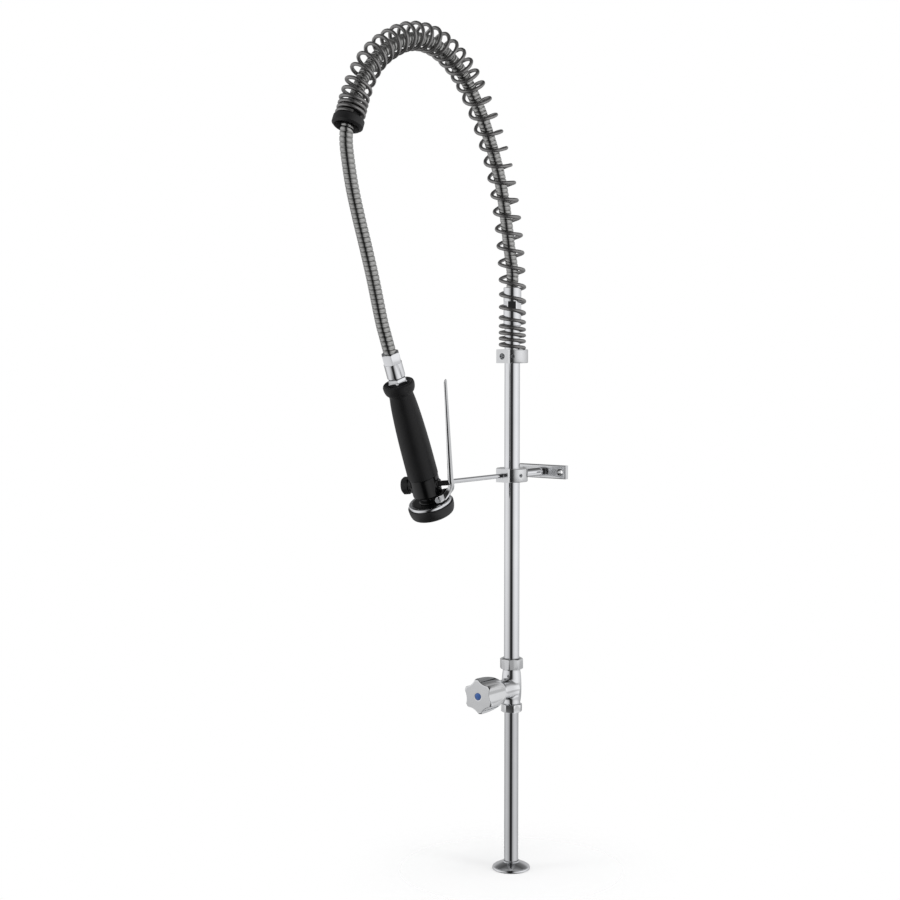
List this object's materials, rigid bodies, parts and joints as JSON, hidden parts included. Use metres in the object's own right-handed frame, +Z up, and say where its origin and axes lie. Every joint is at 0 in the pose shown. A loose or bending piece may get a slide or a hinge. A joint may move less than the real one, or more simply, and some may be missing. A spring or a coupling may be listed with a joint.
{
  "type": "pre rinse faucet",
  "caption": "Deck-standing pre rinse faucet: chrome riser with star-handled stop valve, wall brace, spring-arched metal hose and lever spray gun.",
  "frame": {"origin": "centre of the deck flange's underside, on the riser's axis", "axes": "+Z up the riser, -Y the front, where the hose arches and the gun hangs, +Y the wall side"},
  "size_m": [0.0988, 0.4207, 1.0776],
  "materials": {
    "chrome": "polished",
    "satin_chrome": "satin",
    "spring_steel": "satin",
    "hose_steel": "bright",
    "steel": "bright",
    "brass": "machined",
    "black_gloss": "gloss",
    "black_matte": "matte",
    "black_rubber": "matte",
    "seal_rubber": "matte",
    "fibre": "matte",
    "blue_plastic": "gloss"
  },
  "bodies": {
    "column": {"deck_flange": "chrome", "flange_gasket": "seal_rubber", "lower_riser": "chrome", "lower_nut": "chrome", "lower_olive": "brass", "valve_body": "chrome", "upper_nut": "chrome", "upper_olive": "brass", "upper_riser": "chrome", "bonnet": "brass", "bonnet_gasket": "fibre", "bracket_ring": "satin_chrome", "bracket_set_screw": "steel", "bracket_arm": "chrome", "wall_plate": "satin_chrome", "hook_rod": "chrome", "spring_collar": "satin_chrome", "collar_set_screw": "steel", "hose_union": "chrome", "union_washer": "seal_rubber", "lower_hose_tail": "steel", "hose": "hose_steel", "gun_hose_tail": "steel", "spring": "spring_steel", "spring_cap": "black_matte", "hose_nut": "chrome"},
    "tap": {"spindle": "brass", "spindle_oring": "seal_rubber", "spindle_clip": "steel", "handle": "chrome", "handle_screw": "steel", "index_button": "blue_plastic"},
    "piston": {"valve_piston": "brass", "valve_washer": "seal_rubber"},
    "gun": {"swivel_stem": "chrome", "swivel_oring": "seal_rubber", "grip_collar": "chrome", "gun_body": "black_gloss", "grip": "black_rubber", "valve_cap": "black_matte", "cap_oring": "seal_rubber", "stem_oring": "seal_rubber", "lever_pin": "steel", "head_ring": "chrome", "head_washer": "seal_rubber", "bumper": "black_rubber", "spray_plate": "steel", "plunger_spring": "steel"},
    "plunger": {"plunger": "black_matte", "plunger_seal": "seal_rubber"},
    "lever": {"lever": "chrome"}
  },
  "joints": [
    {"name": "tap_turn", "type": "hinge", "parent": "column", "child": "tap", "pos_m": [0, 0, 0.242], "axis": [0, -1, 0], "range_deg": [0, 540]},
    {"name": "piston_lift", "type": "slide", "parent": "column", "child": "piston", "axis": [0, -1, 0], "range_m": [0, 0.0031]},
    {"name": "gun_swivel", "type": "hinge", "parent": "column", "child": "gun", "pos_m": [0, -0.16803, 0.48493], "axis": [0, -0.3907, 0.9205], "continuous": true},
    {"name": "lever_squeeze", "type": "hinge", "parent": "gun", "child": "lever", "pos_m": [0.01649, -0.17339, 0.50808], "axis": [0.2419, -0.8932, -0.3791], "range_deg": [0, 12], "stiffness_Nm_per_rad": 0.6, "springref_deg": -20.05},
    {"name": "plunger_push", "type": "slide", "parent": "gun", "child": "plunger", "axis": [-0.9703, -0.2227, -0.0945], "range_m": [0, 0.00422], "deforming": ["plunger_spring"]}
  ],
  "couplings": [
    {"joint": "piston_lift", "follows": "tap_turn", "m_per_rad": 0.00031831},
    {"joint": "plunger_push", "follows": "lever_squeeze", "m_per_rad": 0.0192}
  ]
}
